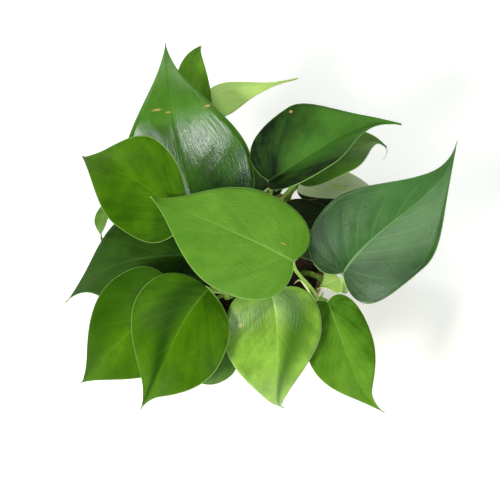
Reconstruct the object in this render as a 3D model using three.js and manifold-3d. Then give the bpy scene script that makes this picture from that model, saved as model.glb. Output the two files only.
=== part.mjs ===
// A heartleaf philodendron in a plain plastic nursery pot, in millimetres, with +Z up.
// The origin is the centre of the pot's underside, and the front is towards -Y.
import * as THREE from "three";
import { mergeVertices } from "three/addons/utils/BufferGeometryUtils.js";
import Module from "manifold-3d";

const wasm = await Module();
wasm.setup();

// The pot: a thin tapered tub with a stepped collar and round drain holes.
const POT_HEIGHT = 95;
const POT_RIM_RADIUS = 53.5;
const POT_SHOULDER_RADIUS = 50.5;
const POT_FOOT_RADIUS = 38;
const POT_WALL = 1.8;
const COLLAR_HEIGHT = 13;
const POT_FLOOR = 2.4;
const DRAIN_RADIUS = 4;
const DRAIN_RING_RADIUS = 27;
const DRAIN_COUNT = 6;
const DRAIN_SIDES = 16;
const POT_EDGE = 0.6;
const FOOT_EDGE = 1;
const POT_SIDES = 40;

// The soil: one plug, a little mounded, that fills the pot up to its collar.
const SOIL_EDGE = 79;
const SOIL_MOUND = 4;
const SOIL_RINGS = 7;

// The lumps of its surface: their height, and two crossing waves in radians per mm along X and Y.
const SOIL_LUMP = 0.5;
const SOIL_WAVES = [[1.3, 0.4], [-0.7, 0.9]];

// Stems and petioles.
const STEM_SIDES = 7;
const STEM_DEPTH = 24;
const STEM_TAPER = 0.35;
const STEM_BURIED = 0.32;
const STEM_STEPS = 12;
const PETIOLE_SIDES = 6;
const PETIOLE_RADIUS = 1.15;
const PETIOLE_STEPS = 9;
const PETIOLE_SWING = 0.35;
const SHEATH_SWELL = 0.25;
const JOINT_SWELL = 0.2;

// The clearance that two pieces keep: in general, between soil and pot wall, and round a stem or petiole.
const CLEARANCE = 0.3;
const WALL_CLEARANCE = 0.36;
const STEM_CLEARANCE = 0.45;

// Blades: the thickness, and how finely the outline and the half width are cut into facets. Above 1, the
// power crowds the rows together towards the tip.
const BLADE_THICKNESS = 0.9;
const BLADE_ROWS = 13;
const BLADE_COLUMNS = 3;
const ROW_POWER = 1.3;

// The outline of half a blade one unit long, as two curves that meet at its widest place: round the lobe
// from the sinus, and on by the shoulder and the waist to the tip. A longer drip draws the last two in.
const HALF_WIDTH = 0.35;
const LOBE_START = 0.1;
const SHOULDER = { beyond: 0.3, drawnIn: 0.08 };
const WAIST = { along: 0.82, drawnIn: 0.1, across: 0.12, narrowed: 0.06 };

// How far along a blade its tip starts to hook.
const HOOK_START = 0.78;

// A slow wave along each margin: its height, its turn for each half of the outline, and where it starts.
const WAVE_HEIGHT = 1;
const WAVE_RATE = 4.2;
const WAVE_LEFT = 0.6;
const WAVE_RIGHT = 2.9;

const UP = new THREE.Vector3(0, 0, 1);
const vector = (p) => new THREE.Vector3(...p);

// Every stem: its radius, and its centreline from where it leaves the soil to its growing tip.
const STEMS = [
  {
    name: "stem_right_front", radius: 2.5,
    path: [[28, -18, 82], [33, -27, 100], [40, -37, 113], [46, -44, 121]],
  },
  {
    name: "stem_right", radius: 2.3,
    path: [[38, -6, 82], [43, -14, 100], [53, -27, 116], [63, -37, 125]],
  },
  {
    name: "stem_front", radius: 2.5,
    path: [[0, -20, 82], [-3, -26, 98], [-8, -33, 110], [-12, -38, 118]],
  },
  {
    name: "stem_left", radius: 2.4,
    path: [[-12, -2, 82], [-13, -2, 94], [-14, -2, 102], [-16, -3, 110]],
  },
  {
    name: "stem_back_left", radius: 2.5,
    path: [[-18, 20, 82], [-17, 28, 98], [-15, 40, 112], [-14, 52, 120]],
  },
  {
    name: "stem_back_right", radius: 2.4,
    path: [[10, 12, 82], [10, 14, 98], [11, 18, 110], [13, 21, 120]],
  },
  {
    name: "stem_back", radius: 2.2,
    path: [[22, 30, 82], [26, 37, 94], [30, 43, 104], [35, 46, 112]],
  },
];

// The shape of a blade where its own entry says nothing else. roll turns it about the line from base to
// tip, in degrees. As shares of its length, arch raises the middle of that line, bend curves the midrib
// sideways, lobe is how far the lobes reach back past the petiole, and widest is where it is widest. As
// shares of the half width, fold lifts the sides into a V, cup turns the margins down, and uneven makes the
// left half that much wider and the right half narrower. late moves the bend towards the tip, drip is how
// far the tip is drawn out, and hook moves the tip by that many mm.
const USUAL = {
  roll: 0, arch: 0.1, fold: 0.1, cup: 0.1, bend: 0, late: 0, lobe: 0.12, drip: 0.5,
  uneven: 0, widest: 0.3, hook: [0, 0, 0], tone: "mature",
};

// Every blade: the stem that its petiole grows from and at what share of it, the blade's base, where the
// petiole joins, its tip and its full width. rise leads a petiole round its neighbours.
const LEAVES = [
  {
    name: "leaf_01", stem: "stem_right_front", at: 0.98, base: [28, -44, 186], tip: [-55, 0, 177],
    width: 67, roll: -4, arch: 0.03, cup: 0.12, bend: -0.01, late: -0.4, lobe: 0.08, drip: 0.3,
    uneven: 0.07, widest: 0.33, hook: [-2, 3, 0], tone: "fresh",
  },
  {
    name: "leaf_02", stem: "stem_right", at: 0.97, base: [59, -41, 163], tip: [131, 42, 168], width: 69,
    roll: 2, arch: 0.03, fold: 0.35, cup: 0.15, bend: -0.04, late: 2, lobe: 0.14, drip: 1.5, uneven: -0.04,
    widest: 0.28, hook: [1, 4, 0],
  },
  {
    name: "leaf_03", stem: "stem_left", at: 0.6, base: [-31, 11, 138], tip: [-52, 119, 161], width: 82,
    roll: -5, arch: 0.04, bend: 0.026, late: 0.1, lobe: 0.13, drip: 0.9, uneven: -0.05, widest: 0.26,
    hook: [0, 4, 0], rise: [6, 4, 4],
  },
  {
    name: "leaf_04", stem: "stem_left", at: 0.85, base: [-37, -9, 161], tip: [-109, 64, 122], width: 59,
    roll: -34, fold: 0.55, cup: 0.15, bend: -0.066, late: -1, lobe: 0, drip: 1.5, uneven: -0.03,
    hook: [2, -3, 0], rise: [5, -3, 10], tone: "fresh",
  },
  {
    name: "leaf_05", stem: "stem_front", at: 0.95, base: [-22, -46, 150], tip: [-66, -94, 87], width: 67,
    arch: 0.16, fold: 0.42, cup: 0.2, bend: 0.053, late: 1.3, lobe: 0.02, drip: 0.9, uneven: 0.06,
    widest: 0.28, hook: [0, -7, 0], tone: "fresh",
  },
  {
    name: "leaf_06", stem: "stem_front", at: 0.85, base: [-45, -47, 140], tip: [-104, -79, 74], width: 66,
    roll: -16, cup: 0.2, bend: -0.013, lobe: 0.08, drip: 0.7, uneven: 0.03, widest: 0.27, hook: [-2, 0, 0],
    rise: [0, 0, 10], tone: "fresh",
  },
  {
    name: "leaf_07", stem: "stem_left", at: 0.9, base: [-29, -7, 116], tip: [-115, -20, 75], width: 74,
    cup: 0.2, bend: -0.072, late: 0.6, drip: 0.8, uneven: 0.03, widest: 0.38, hook: [-4, -3, 0],
  },
  {
    name: "leaf_08", stem: "stem_front", at: 0.6, base: [16, -50, 150], tip: [23, -102, 80], width: 60,
    roll: -3, arch: 0.14, fold: 0.13, cup: 0.15, bend: -0.03, late: 2, lobe: 0.08, drip: 1.3,
    uneven: -0.06, widest: 0.26, hook: [1, 4, 0], tone: "fresh",
  },
  {
    name: "leaf_09", stem: "stem_right_front", at: 0.8, base: [51, -48, 134], tip: [81, -95, 72],
    width: 42, roll: 22, fold: 0.3, cup: 0.2, bend: -0.015, late: 1.2, lobe: 0.08, uneven: -0.11,
    widest: 0.33, hook: [8, -4, 0], tone: "fresh",
  },
  {
    name: "leaf_10", stem: "stem_back_right", at: 0.98, base: [15, 28, 150], tip: [99, 72, 151], width: 63,
    roll: -17, arch: 0.06, fold: 0.72, bend: 0.023, late: 2, lobe: 0.095, drip: 1.6, uneven: -0.08,
    widest: 0.34, hook: [1, -4, 0],
  },
  {
    name: "leaf_11", stem: "stem_back_right", at: 0.75, base: [33, 40, 138], tip: [94, 74, 121], width: 44,
    roll: -10, arch: 0.12, fold: 0.3, bend: 0.005, lobe: 0.09, drip: 1.2, uneven: -0.05, widest: 0.36,
    hook: [-1, -6, 0],
  },
  {
    name: "leaf_12", stem: "stem_back_right", at: 0.4, base: [26, 20, 112], tip: [82, -2, 90], width: 38,
    roll: 12,
  },
  {
    name: "leaf_13", stem: "stem_back_left", at: 0.97, base: [-33, 76, 136], tip: [-30, 140, 132],
    width: 24, arch: 0.14, fold: 0.4, cup: 0.3, bend: 0.055, late: 0.6, drip: 0, widest: 0.23,
    tone: "fresh",
  },
  {
    name: "leaf_14", stem: "stem_back_left", at: 0.85, base: [-29, 94, 127], tip: [29, 116, 131],
    width: 25, roll: -3, arch: 0.04, fold: -0.47, cup: 0, bend: 0.058, late: -2.6, lobe: 0.04, drip: 1.9,
    uneven: -0.2, widest: 0.27, hook: [6, -1, 0], tone: "young",
  },
  {
    name: "leaf_15", stem: "stem_back_left", at: 0.5, base: [-89, 25, 120], tip: [-96, 17, 86], width: 8.4,
    arch: 0.04, fold: 0.6, cup: 0, bend: -0.03, tone: "young",
  },
  {
    name: "leaf_16", stem: "stem_front", at: 0.5, base: [-11, -67, 106], tip: [-49, -77, 89], width: 39,
    roll: -10, arch: 0.1,
  },
  {
    name: "leaf_17", stem: "stem_right", at: 0.8, base: [58, -34, 137], tip: [44, -41, 138], width: 16,
    arch: 0.04, fold: 0.1, lobe: 0.04, drip: 1.8, tone: "young",
  },
  {
    name: "leaf_18", stem: "stem_back", at: 0.9, base: [38, 44, 118], tip: [88, 43, 104], width: 24,
    tone: "young",
  },
  {
    name: "leaf_19", stem: "stem_right", at: 0.6, base: [72, -8, 118], tip: [118, 26, 90], width: 50,
  },
  {
    name: "leaf_20", stem: "stem_left", at: 0.7, base: [-44, 2, 106], tip: [-98, 6, 68], width: 50,
  },
  {
    name: "leaf_21", stem: "stem_front", at: 0.6, base: [-38, -38, 102], tip: [-76, -64, 66], width: 50,
  },
  {
    name: "leaf_22", stem: "stem_right_front", at: 0.4, base: [34, -44, 102], tip: [60, -70, 80],
    width: 38, arch: 0.12,
  },
  {
    name: "leaf_23", stem: "stem_back_left", at: 0.35, base: [-40, 42, 112], tip: [-52, 104, 92],
    width: 52, roll: 4,
  },
  {
    name: "leaf_24", stem: "stem_back", at: 0.7, base: [34, 54, 108], tip: [52, 102, 84], width: 50,
  },
  {
    name: "leaf_25", stem: "stem_back_right", at: 0.6, base: [10, 34, 122], tip: [8, 72, 106], width: 34,
  },
  {
    name: "leaf_26", stem: "stem_back", at: 0.5, base: [39, 38, 103], tip: [88, 47, 84], width: 34,
    roll: 4,
  },
].map((leaf) => ({ ...USUAL, ...leaf }));

const POT_PLASTIC = new THREE.MeshStandardMaterial({ color: 0xb98d5a, roughness: 0.55, metalness: 0 });
const SOIL_PEAT = new THREE.MeshStandardMaterial({ color: 0x2e2212, roughness: 0.95, metalness: 0 });
const STEM_GREEN = new THREE.MeshStandardMaterial({ color: 0x8fae45, roughness: 0.5, metalness: 0 });
const BLADE_TONES = {
  fresh: new THREE.MeshStandardMaterial({ color: 0x6f9f2c, roughness: 0.38, metalness: 0 }),
  mature: new THREE.MeshStandardMaterial({ color: 0x2f5f1e, roughness: 0.3, metalness: 0 }),
  young: new THREE.MeshStandardMaterial({ color: 0x9bc060, roughness: 0.45, metalness: 0 }),
};

// A closed geometry as a solid for cutting and joining.
function solidOf(geometry) {
  const bare = new THREE.BufferGeometry().setAttribute("position", geometry.getAttribute("position"));
  if (geometry.index) bare.setIndex(geometry.index);
  const merged = mergeVertices(bare.index ? bare.toNonIndexed() : bare, 1e-4);
  return new wasm.Manifold(
    new wasm.Mesh({
      numProp: 3,
      vertProperties: new Float32Array(merged.getAttribute("position").array),
      triVerts: new Uint32Array(merged.index.array),
    }),
  );
}

// A solid back as a mesh of the scene.
function meshOf(solid, name, material) {
  const cut = solid.getMesh();
  const places = new Float32Array(cut.numVert * 3);
  for (let i = 0; i < cut.numVert; i++) {
    places.set(cut.vertProperties.subarray(i * cut.numProp, i * cut.numProp + 3), i * 3);
  }
  const geometry = new THREE.BufferGeometry()
    .setAttribute("position", new THREE.BufferAttribute(places, 3))
    .setIndex(new THREE.BufferAttribute(new Uint32Array(cut.triVerts), 1));
  geometry.computeVertexNormals();
  const mesh = new THREE.Mesh(geometry, material);
  mesh.name = name;
  return mesh;
}

// A round bar along a smooth line through the points, with its radius given along it from 0 to 1.
function bar(curve, radiusAt, sides, steps) {
  const frames = curve.computeFrenetFrames(steps, false);
  const places = [];
  const faces = [];
  for (let i = 0; i <= steps; i++) {
    const centre = curve.getPointAt(i / steps);
    for (let k = 0; k < sides; k++) {
      const turn = (2 * Math.PI * k) / sides;
      const out = frames.normals[i].clone().multiplyScalar(Math.cos(turn));
      out.addScaledVector(frames.binormals[i], Math.sin(turn));
      places.push(...centre.clone().addScaledVector(out, radiusAt(i / steps)).toArray());
    }
  }
  const first = places.length / 3;
  places.push(...curve.getPointAt(0).toArray(), ...curve.getPointAt(1).toArray());
  for (let i = 0; i < steps; i++) {
    for (let k = 0; k < sides; k++) {
      const a = i * sides + k;
      const b = i * sides + ((k + 1) % sides);
      faces.push(a, b, b + sides, a, b + sides, a + sides);
    }
  }
  for (let k = 0; k < sides; k++) {
    const next = (k + 1) % sides;
    faces.push(first, next, k);
    faces.push(first + 1, steps * sides + k, steps * sides + next);
  }
  const geometry = new THREE.BufferGeometry()
    .setAttribute("position", new THREE.Float32BufferAttribute(places, 3))
    .setIndex(faces);
  return solidOf(geometry);
}

// The frame of a blade: forward along the line from base to tip, its face's normal, and its left side.
function bladeFrame(leaf) {
  const base = vector(leaf.base);
  const forward = vector(leaf.tip).sub(base);
  const length = forward.length();
  forward.normalize();
  const normal = UP.clone().addScaledVector(forward, -UP.dot(forward)).normalize();
  normal.applyAxisAngle(forward, THREE.MathUtils.degToRad(leaf.roll));
  const side = normal.clone().cross(forward);
  return { base, forward, normal, side, length };
}

// A place on the outline of a half blade, for a row from 0 at the sinus to 2 at the tip.
function marginPoint(leaf, row) {
  const t = row <= 1 ? row : row - 1;
  const u = 1 - t;
  const curve = (a, b, c, d) => u ** 3 * a + 3 * t * u * u * b + 3 * t * t * u * c + t ** 3 * d;
  if (row <= 1) {
    const along = curve(0, -leaf.lobe, -leaf.lobe, leaf.widest);
    return { x: along, y: curve(0, LOBE_START, HALF_WIDTH, HALF_WIDTH) };
  }
  const shoulder = leaf.widest + SHOULDER.beyond - SHOULDER.drawnIn * leaf.drip;
  const waist = WAIST.along - WAIST.drawnIn * leaf.drip;
  const narrow = WAIST.across - WAIST.narrowed * leaf.drip;
  return { x: curve(leaf.widest, shoulder, waist, 1), y: curve(HALF_WIDTH, HALF_WIDTH, narrow, 0) };
}

// A point of a blade's middle surface, for a row from 0 at the sinus to 2 at the tip, across from -1 to 1.
function bladePoint(leaf, frame, row, across) {
  const margin = marginPoint(leaf, row);
  const rib = (row / 2) ** 4;
  const share = Math.abs(across);
  const x = rib + (margin.x - rib) * share;
  const y = (margin.y * across) / HALF_WIDTH;
  const half = (leaf.width / 2) * (1 + leaf.uneven * Math.sign(across));
  const bow = 4 * x * (1 - x);
  const start = across > 0 ? WAVE_LEFT : WAVE_RIGHT;
  const wave = WAVE_HEIGHT * share * share * Math.sin(WAVE_RATE * row + start);
  const turned = half * (leaf.fold * Math.abs(y) - leaf.cup * y * y);
  const height = leaf.arch * frame.length * bow + turned + wave;
  const bend = leaf.bend * frame.length * bow * (1 + leaf.late * (2 * x - 1));
  const late = Math.max(0, (x - HOOK_START) / (1 - HOOK_START));
  return frame.base
    .clone()
    .addScaledVector(frame.forward, x * frame.length)
    .addScaledVector(frame.side, half * y + bend)
    .addScaledVector(frame.normal, height)
    .addScaledVector(vector(leaf.hook), late * late);
}

// A blade as a thin closed solid: the same net of points, raised and lowered by half the thickness. Its
// first row runs round the sinus, from one lobe in to the petiole and out to the other.
function blade(leaf) {
  const frame = bladeFrame(leaf);
  const places = [];
  const faces = [];
  const wide = 2 * BLADE_COLUMNS + 1;
  const rows = BLADE_ROWS - 1;
  for (const lift of [BLADE_THICKNESS / 2, -BLADE_THICKNESS / 2]) {
    const put = (row, across) =>
      places.push(...bladePoint(leaf, frame, row, across).addScaledVector(frame.normal, lift).toArray());
    for (let i = 1; i <= rows; i++) {
      const row = 2 * (1 - (1 - i / BLADE_ROWS) ** ROW_POWER);
      for (let k = -BLADE_COLUMNS; k <= BLADE_COLUMNS; k++) put(row, k / BLADE_COLUMNS);
    }
    put(2, 0);
  }
  const at = (i, k) => i * wide + k;
  const tip = at(rows, 0);
  const perFace = tip + 1;
  const upper = [];
  for (let k = 0; k < wide - 1; k++) {
    for (let i = 0; i < rows - 1; i++) {
      const [a, b, c, d] = [at(i, k), at(i, k + 1), at(i + 1, k + 1), at(i + 1, k)];
      if (k < BLADE_COLUMNS) upper.push([a, c, b], [a, d, c]);
      else upper.push([a, d, b], [b, d, c]);
    }
    upper.push([at(rows - 1, k), tip, at(rows - 1, k + 1)]);
  }
  for (const [a, b, c] of upper) {
    faces.push(a, b, c);
    faces.push(perFace + a, perFace + c, perFace + b);
  }
  const loop = [];
  for (let i = 0; i < rows; i++) loop.push(at(i, 0));
  loop.push(tip);
  for (let i = rows - 1; i >= 0; i--) loop.push(at(i, wide - 1));
  for (let k = wide - 2; k > 0; k--) loop.push(at(0, k));
  loop.forEach((a, i) => {
    const b = loop[(i + 1) % loop.length];
    faces.push(a, perFace + a, perFace + b, a, perFace + b, b);
  });
  const geometry = new THREE.BufferGeometry()
    .setAttribute("position", new THREE.Float32BufferAttribute(places, 3))
    .setIndex(faces);
  return solidOf(geometry);
}

// A closed shape turned about the upright axis, from its profile of radius and height, up the outside.
function latheOf(profile, sides) {
  const points = profile.map(([r, z]) => new THREE.Vector2(r, z));
  return new THREE.LatheGeometry(points, sides).rotateX(Math.PI / 2);
}

// The radius of the pot's tapered inner wall at a height.
function innerRadius(z) {
  const flare = (POT_SHOULDER_RADIUS - POT_FOOT_RADIUS) / (POT_HEIGHT - COLLAR_HEIGHT);
  return POT_FOOT_RADIUS - POT_WALL + flare * z;
}

// The pot: up the tapered outside, over the collar, down the inside to the floor, then its drain holes.
function potSolid() {
  const shoulder = POT_HEIGHT - COLLAR_HEIGHT;
  const inner = POT_RIM_RADIUS - POT_WALL;
  const profile = [
    [0, 0],
    [POT_FOOT_RADIUS - FOOT_EDGE, 0],
    [POT_FOOT_RADIUS, FOOT_EDGE],
    [POT_SHOULDER_RADIUS, shoulder - FOOT_EDGE],
    [POT_RIM_RADIUS - POT_EDGE, shoulder],
    [POT_RIM_RADIUS, POT_HEIGHT - POT_EDGE],
    [POT_RIM_RADIUS - POT_EDGE, POT_HEIGHT],
    [inner, POT_HEIGHT - POT_EDGE / 2],
    [inner - POT_EDGE, shoulder + POT_WALL],
    [innerRadius(shoulder), shoulder + POT_EDGE],
    [innerRadius(POT_FLOOR + FOOT_EDGE), POT_FLOOR + FOOT_EDGE],
    [innerRadius(POT_FLOOR) - FOOT_EDGE, POT_FLOOR],
    [0, POT_FLOOR],
  ];
  let pot = solidOf(latheOf(profile, POT_SIDES));
  for (let i = 0; i < DRAIN_COUNT; i++) {
    const turn = (2 * Math.PI * i) / DRAIN_COUNT;
    const drill = new THREE.CylinderGeometry(DRAIN_RADIUS, DRAIN_RADIUS, 4 * POT_FLOOR, DRAIN_SIDES);
    drill.rotateX(Math.PI / 2);
    drill.translate(DRAIN_RING_RADIUS * Math.cos(turn), DRAIN_RING_RADIUS * Math.sin(turn), 0);
    pot = pot.subtract(solidOf(drill));
  }
  return pot;
}

// The soil: a plug that follows the pot's inner wall, with a mounded lumpy top and a hole for each stem.
function soilSolid(holes) {
  const edge = innerRadius(SOIL_EDGE) - WALL_CLEARANCE;
  const foot = innerRadius(POT_FLOOR) - FOOT_EDGE - CLEARANCE;
  const profile = [[0, POT_FLOOR + CLEARANCE], [foot, POT_FLOOR + CLEARANCE], [edge, SOIL_EDGE]];
  for (let i = 1; i <= SOIL_RINGS; i++) {
    const share = 1 - i / SOIL_RINGS;
    profile.push([edge * share, SOIL_EDGE + SOIL_MOUND * (1 - share * share)]);
  }
  const lathe = latheOf(profile, POT_SIDES);
  const places = lathe.getAttribute("position");
  for (let i = 0; i < places.count; i++) {
    const [x, y, z] = [places.getX(i), places.getY(i), places.getZ(i)];
    const lump = SOIL_WAVES.reduce((sum, [a, b]) => sum + Math.sin(a * x + b * y), 0);
    if (z > SOIL_EDGE + SOIL_LUMP / 2) places.setZ(i, z + SOIL_LUMP * lump);
  }
  return holes.reduce((soil, hole) => soil.subtract(hole), solidOf(lathe));
}

// A stem's centreline, which starts upright in the soil.
function stemCurve(stem, deeper = 0) {
  const [x, y, z] = stem.path[0];
  const buried = [[x, y, z - STEM_DEPTH - deeper], [x, y, z - STEM_DEPTH / 2]];
  return new THREE.CatmullRomCurve3([...buried, ...stem.path].map(vector), false, "centripetal");
}

// The way that a blade's upper face looks at its base, where the arch starts.
function baseNormal(leaf) {
  const { forward, normal } = bladeFrame(leaf);
  return normal.clone().addScaledVector(forward, -4 * leaf.arch).normalize();
}

// A petiole's centreline, from its node on the stem to just under the base of its blade, which it meets
// squarely.
function petioleCurve(leaf, stem) {
  const up = baseNormal(leaf);
  const sag = 2 * PETIOLE_RADIUS * Math.max(0, -leaf.fold);
  const start = stemCurve(stem).getPointAt(STEM_BURIED + (1 - STEM_BURIED) * leaf.at);
  const end = vector(leaf.base).addScaledVector(up, -(BLADE_THICKNESS / 2 + STEM_CLEARANCE + sag));
  const swing = PETIOLE_SWING * start.distanceTo(end);
  const rise = start.clone().addScaledVector(UP, swing);
  if (leaf.rise) rise.add(vector(leaf.rise));
  return new THREE.CubicBezierCurve3(start, rise, end.clone().addScaledVector(up, -swing), end);
}

// A petiole, a little thicker at both ends.
function petioleSolid(leaf, stem) {
  const radiusAt = (t) => PETIOLE_RADIUS * (1 + SHEATH_SWELL * (1 - t) ** 4 + JOINT_SWELL * t ** 12);
  return bar(petioleCurve(leaf, stem), radiusAt, PETIOLE_SIDES, PETIOLE_STEPS);
}

const plant = new THREE.Group();
const holes = [];
for (const stem of STEMS) {
  const radiusAt = (t) => stem.radius * (1 - STEM_TAPER * t);
  let solid = bar(stemCurve(stem), radiusAt, STEM_SIDES, STEM_STEPS);
  const borne = LEAVES.filter((leaf) => leaf.stem === stem.name);
  for (const leaf of borne) solid = solid.add(petioleSolid(leaf, stem));
  const whole = solid.decompose().sort((a, b) => b.volume() - a.volume())[0];
  plant.add(meshOf(whole, stem.name, STEM_GREEN));
  holes.push(bar(stemCurve(stem, CLEARANCE), (t) => radiusAt(t) + STEM_CLEARANCE, STEM_SIDES, STEM_STEPS));
}
plant.add(meshOf(potSolid(), "pot", POT_PLASTIC));
plant.add(meshOf(soilSolid(holes), "soil", SOIL_PEAT));
for (const leaf of LEAVES) plant.add(meshOf(blade(leaf), leaf.name, BLADE_TONES[leaf.tone]));

export default plant;
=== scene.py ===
# A heartleaf philodendron in a plastic nursery pot: the looks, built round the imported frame.
import math
import random

import bpy
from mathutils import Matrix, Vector, noise


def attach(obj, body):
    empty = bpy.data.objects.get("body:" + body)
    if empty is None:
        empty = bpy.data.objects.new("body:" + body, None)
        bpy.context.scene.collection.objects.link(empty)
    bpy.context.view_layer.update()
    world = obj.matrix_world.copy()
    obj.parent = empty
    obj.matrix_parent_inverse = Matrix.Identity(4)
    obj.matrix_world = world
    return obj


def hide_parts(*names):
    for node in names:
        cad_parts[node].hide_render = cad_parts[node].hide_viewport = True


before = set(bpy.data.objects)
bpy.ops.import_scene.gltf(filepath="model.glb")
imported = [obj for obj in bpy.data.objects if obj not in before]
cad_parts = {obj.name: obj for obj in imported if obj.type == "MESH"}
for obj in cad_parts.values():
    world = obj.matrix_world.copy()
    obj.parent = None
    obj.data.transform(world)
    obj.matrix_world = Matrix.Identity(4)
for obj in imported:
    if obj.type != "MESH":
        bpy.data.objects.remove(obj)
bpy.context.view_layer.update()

bpy.ops.object.select_all(action="DESELECT")

# The pot.
# A thin tapered nursery tub with a stepped collar, moulded in one shot from tan polypropylene.
# It stands on its flat base, and six round holes through the floor let the water out.

# Sizes are in mm. A profile gives each ring's radius and height, and flare is how much the wall leans out.
MM = 0.001
pot_sides = 128
foot_radius = 37.0
inner_foot = 36.2
flare = 12.5 / 82
outside_profile = [
    (37.6, 0.2), (38.0, 0.8), (44.2, 41.0), (50.4, 80.8), (50.9, 81.5), (52.4, 81.9), (52.9, 82.4),
    (53.2, 88.0), (53.5, 93.8), (53.3, 94.6), (52.7, 95.0), (52.1, 94.9), (51.7, 94.3), (51.4, 89.0),
    (51.1, 83.9),
]
inside_heights = [82.6, 60.0, 40.0, 20.0, 4.4]
floor_height = 2.4
floor_radius = 35.4
drain_count = 6
drain_ring = 27.0
drain_radius = 4.0
drain_sides = 48
pot_smooth_below = 30


def linear(code):
    """An sRGB hex colour as a linear one."""
    parts = [int(code[i : i + 2], 16) / 255 for i in (0, 2, 4)]
    return [v / 12.92 if v <= 0.04045 else ((v + 0.055) / 1.055) ** 2.4 for v in parts] + [1.0]


def add_node(tree, kind, inputs=None, **settings):
    """Adds a shader node with its settings. An input is given a value, or the socket it is linked from."""
    node = tree.nodes.new("ShaderNode" + kind)
    for name, value in settings.items():
        setattr(node, name, value)
    for place, value in (inputs or {}).items():
        if isinstance(value, bpy.types.NodeSocket):
            tree.links.new(value, node.inputs[place])
        else:
            node.inputs[place].default_value = value
    return node


def new_material(name):
    """An empty material and its tree, with the output node in place."""
    material = bpy.data.materials.new(name)
    material.use_nodes = True
    tree = material.node_tree
    tree.nodes.clear()
    return material, tree, add_node(tree, "OutputMaterial")


def moulded_polypropylene():
    """Tan polypropylene from a satin mould: an even, waxy tan with fine grain and soft upright flow marks.

    The mould's real grain is about 0.1 mm, drawn coarser here so that it shows.
    """
    material, tree, output = new_material("moulded_tan_polypropylene")
    place = add_node(tree, "TexCoord").outputs["Object"]
    clouds = add_node(tree, "TexNoise", {"Vector": place, "Scale": 1 / (14 * MM), "Detail": 3.0})
    stretched = add_node(tree, "Mapping", {"Vector": place, "Scale": (1, 1, 0.12)})
    flow = add_node(
        tree, "TexNoise", {"Vector": stretched.outputs[0], "Scale": 1 / (3 * MM), "Detail": 2.0}
    )
    grain = add_node(tree, "TexNoise", {"Vector": place, "Scale": 1 / (0.35 * MM), "Detail": 2.0})
    tint = add_node(
        tree, "Mix", {0: clouds.outputs[0], 6: linear("a8894f"), 7: linear("c0a066")}, data_type="RGBA"
    )
    streak = add_node(tree, "MapRange", {0: flow.outputs[0], 1: 0.55, 2: 0.8, 3: 0.0, 4: 0.35})
    streaked = add_node(
        tree, "Mix", {0: streak.outputs[0], 6: tint.outputs[2], 7: linear("93763f")}, data_type="RGBA"
    )
    height = add_node(tree, "Math", {0: grain.outputs[0], 1: flow.outputs[0]}, operation="ADD")
    bump = add_node(tree, "Bump", {"Height": height.outputs[0], "Strength": 0.25, "Distance": 0.1 * MM})
    shader = add_node(
        tree,
        "BsdfPrincipled",
        {"Base Color": streaked.outputs[2], "Roughness": 0.48, "IOR": 1.49, "Normal": bump.outputs[0]},
    )
    tree.links.new(shader.outputs[0], output.inputs[0])
    return material


def apply_modifier(piece, kind, **settings):
    """Adds a modifier to the active piece and applies it."""
    modifier = piece.modifiers.new(kind.title(), kind)
    for name, value in settings.items():
        setattr(modifier, name, value)
    bpy.ops.object.modifier_apply(modifier=modifier.name)


def join(pieces, name):
    """Joins the pieces into one with that name."""
    bpy.ops.object.select_all(action="DESELECT")
    for piece in pieces:
        piece.select_set(True)
    bpy.context.view_layer.objects.active = pieces[0]
    if len(pieces) > 1:
        bpy.ops.object.join()
    joined = bpy.context.object
    joined.name = name
    joined.data.name = name
    return joined


def raise_rings(profile, radius, height):
    """Extrudes the selected disc through rings of a radius and a height, in mm."""
    for next_radius, next_height in profile:
        rise = (next_height - height) * MM
        bpy.ops.mesh.extrude_region_move(TRANSFORM_OT_translate={"value": (0, 0, rise)})
        share = next_radius / radius
        bpy.ops.transform.resize(value=(share, share, 1))
        radius, height = next_radius, next_height


bpy.ops.mesh.primitive_circle_add(vertices=pot_sides, radius=foot_radius * MM, fill_type="NGON")
pot = bpy.context.object
inside_profile = [(inner_foot + flare * z, z) for z in inside_heights]
bpy.ops.object.mode_set(mode="EDIT")
bpy.ops.mesh.select_all(action="SELECT")
raise_rings(outside_profile + inside_profile + [(floor_radius, floor_height)], foot_radius, 0.0)
bpy.ops.mesh.select_all(action="SELECT")
bpy.ops.mesh.normals_make_consistent(inside=False)
bpy.ops.object.mode_set(mode="OBJECT")
drills = []
for i in range(drain_count):
    turn = 2 * math.pi * i / drain_count
    bpy.ops.mesh.primitive_cylinder_add(
        vertices=drain_sides,
        radius=drain_radius * MM,
        depth=4 * floor_height * MM,
        location=(drain_ring * math.cos(turn) * MM, drain_ring * math.sin(turn) * MM, 0),
    )
    drills.append(bpy.context.object)
drill = join(drills, "drain_drill")
bpy.ops.object.select_all(action="DESELECT")
bpy.context.view_layer.objects.active = pot
pot.select_set(True)
apply_modifier(pot, "BOOLEAN", object=drill, operation="DIFFERENCE", solver="EXACT")
bpy.data.objects.remove(drill)
bpy.ops.object.shade_smooth_by_angle(angle=math.radians(pot_smooth_below))
pot.name = "nursery_pot"
pot.data.materials.append(moulded_polypropylene())
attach(pot, "root")
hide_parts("pot")

# The soil.
# Moist peat potting mix, filled in loose and settled a little below the collar, mounded round the stems.
# Its surface is lumpy, with crumbs and bits of bark lying on it.
soil_sides = 96
soil_foot = 35.0
soil_low = 2.7
soil_edge = 79.0
soil_edge_radius = 47.88
soil_mound = 4.0
soil_steps = 30
soil_smooth_below = 50
wide_lump, wide_lump_height = 9, 1.6
small_lump, small_lump_height = 2.6, 0.9
crumb_count, crumb_size = 420, (0.5, 1.3)
chip_count, chip_size, chip_flatness = 46, (1.4, 2.6), 0.35
bare_edge = 3


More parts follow.
